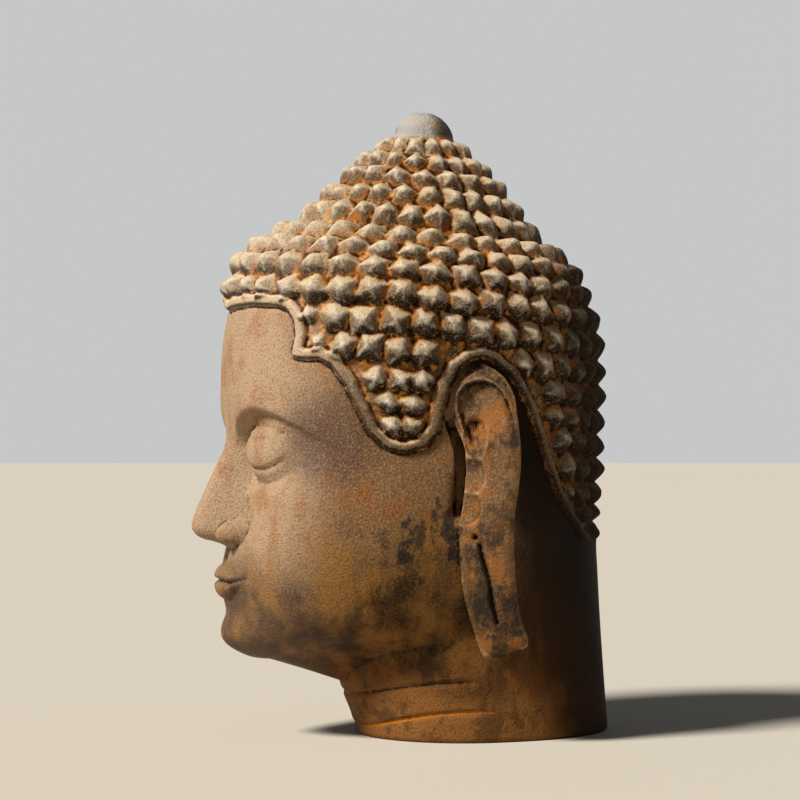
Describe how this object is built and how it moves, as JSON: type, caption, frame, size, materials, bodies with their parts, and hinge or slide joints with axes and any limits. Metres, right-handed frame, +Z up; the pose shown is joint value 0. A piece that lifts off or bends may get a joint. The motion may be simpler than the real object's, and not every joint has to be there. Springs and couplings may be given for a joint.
{
  "type": "buddha head sculpture",
  "caption": "Buddha's head cast in rusted iron, with rows of pointed curls, a beaded hairline, long ear lobes and a crown knob, standing on its flat cut neck.",
  "frame": {"origin": "on the flat underside of the neck, half way between its front and back edges", "axes": "+Z up; the face looks toward -Y; +X is the head's own left side"},
  "size_m": [0.1629, 0.2054, 0.3],
  "materials": {
    "iron": "rusted, sandy grain, orange in the hollows and grey where worn"
  },
  "bodies": {
    "root": {"head": "iron"}
  },
  "joints": []
}
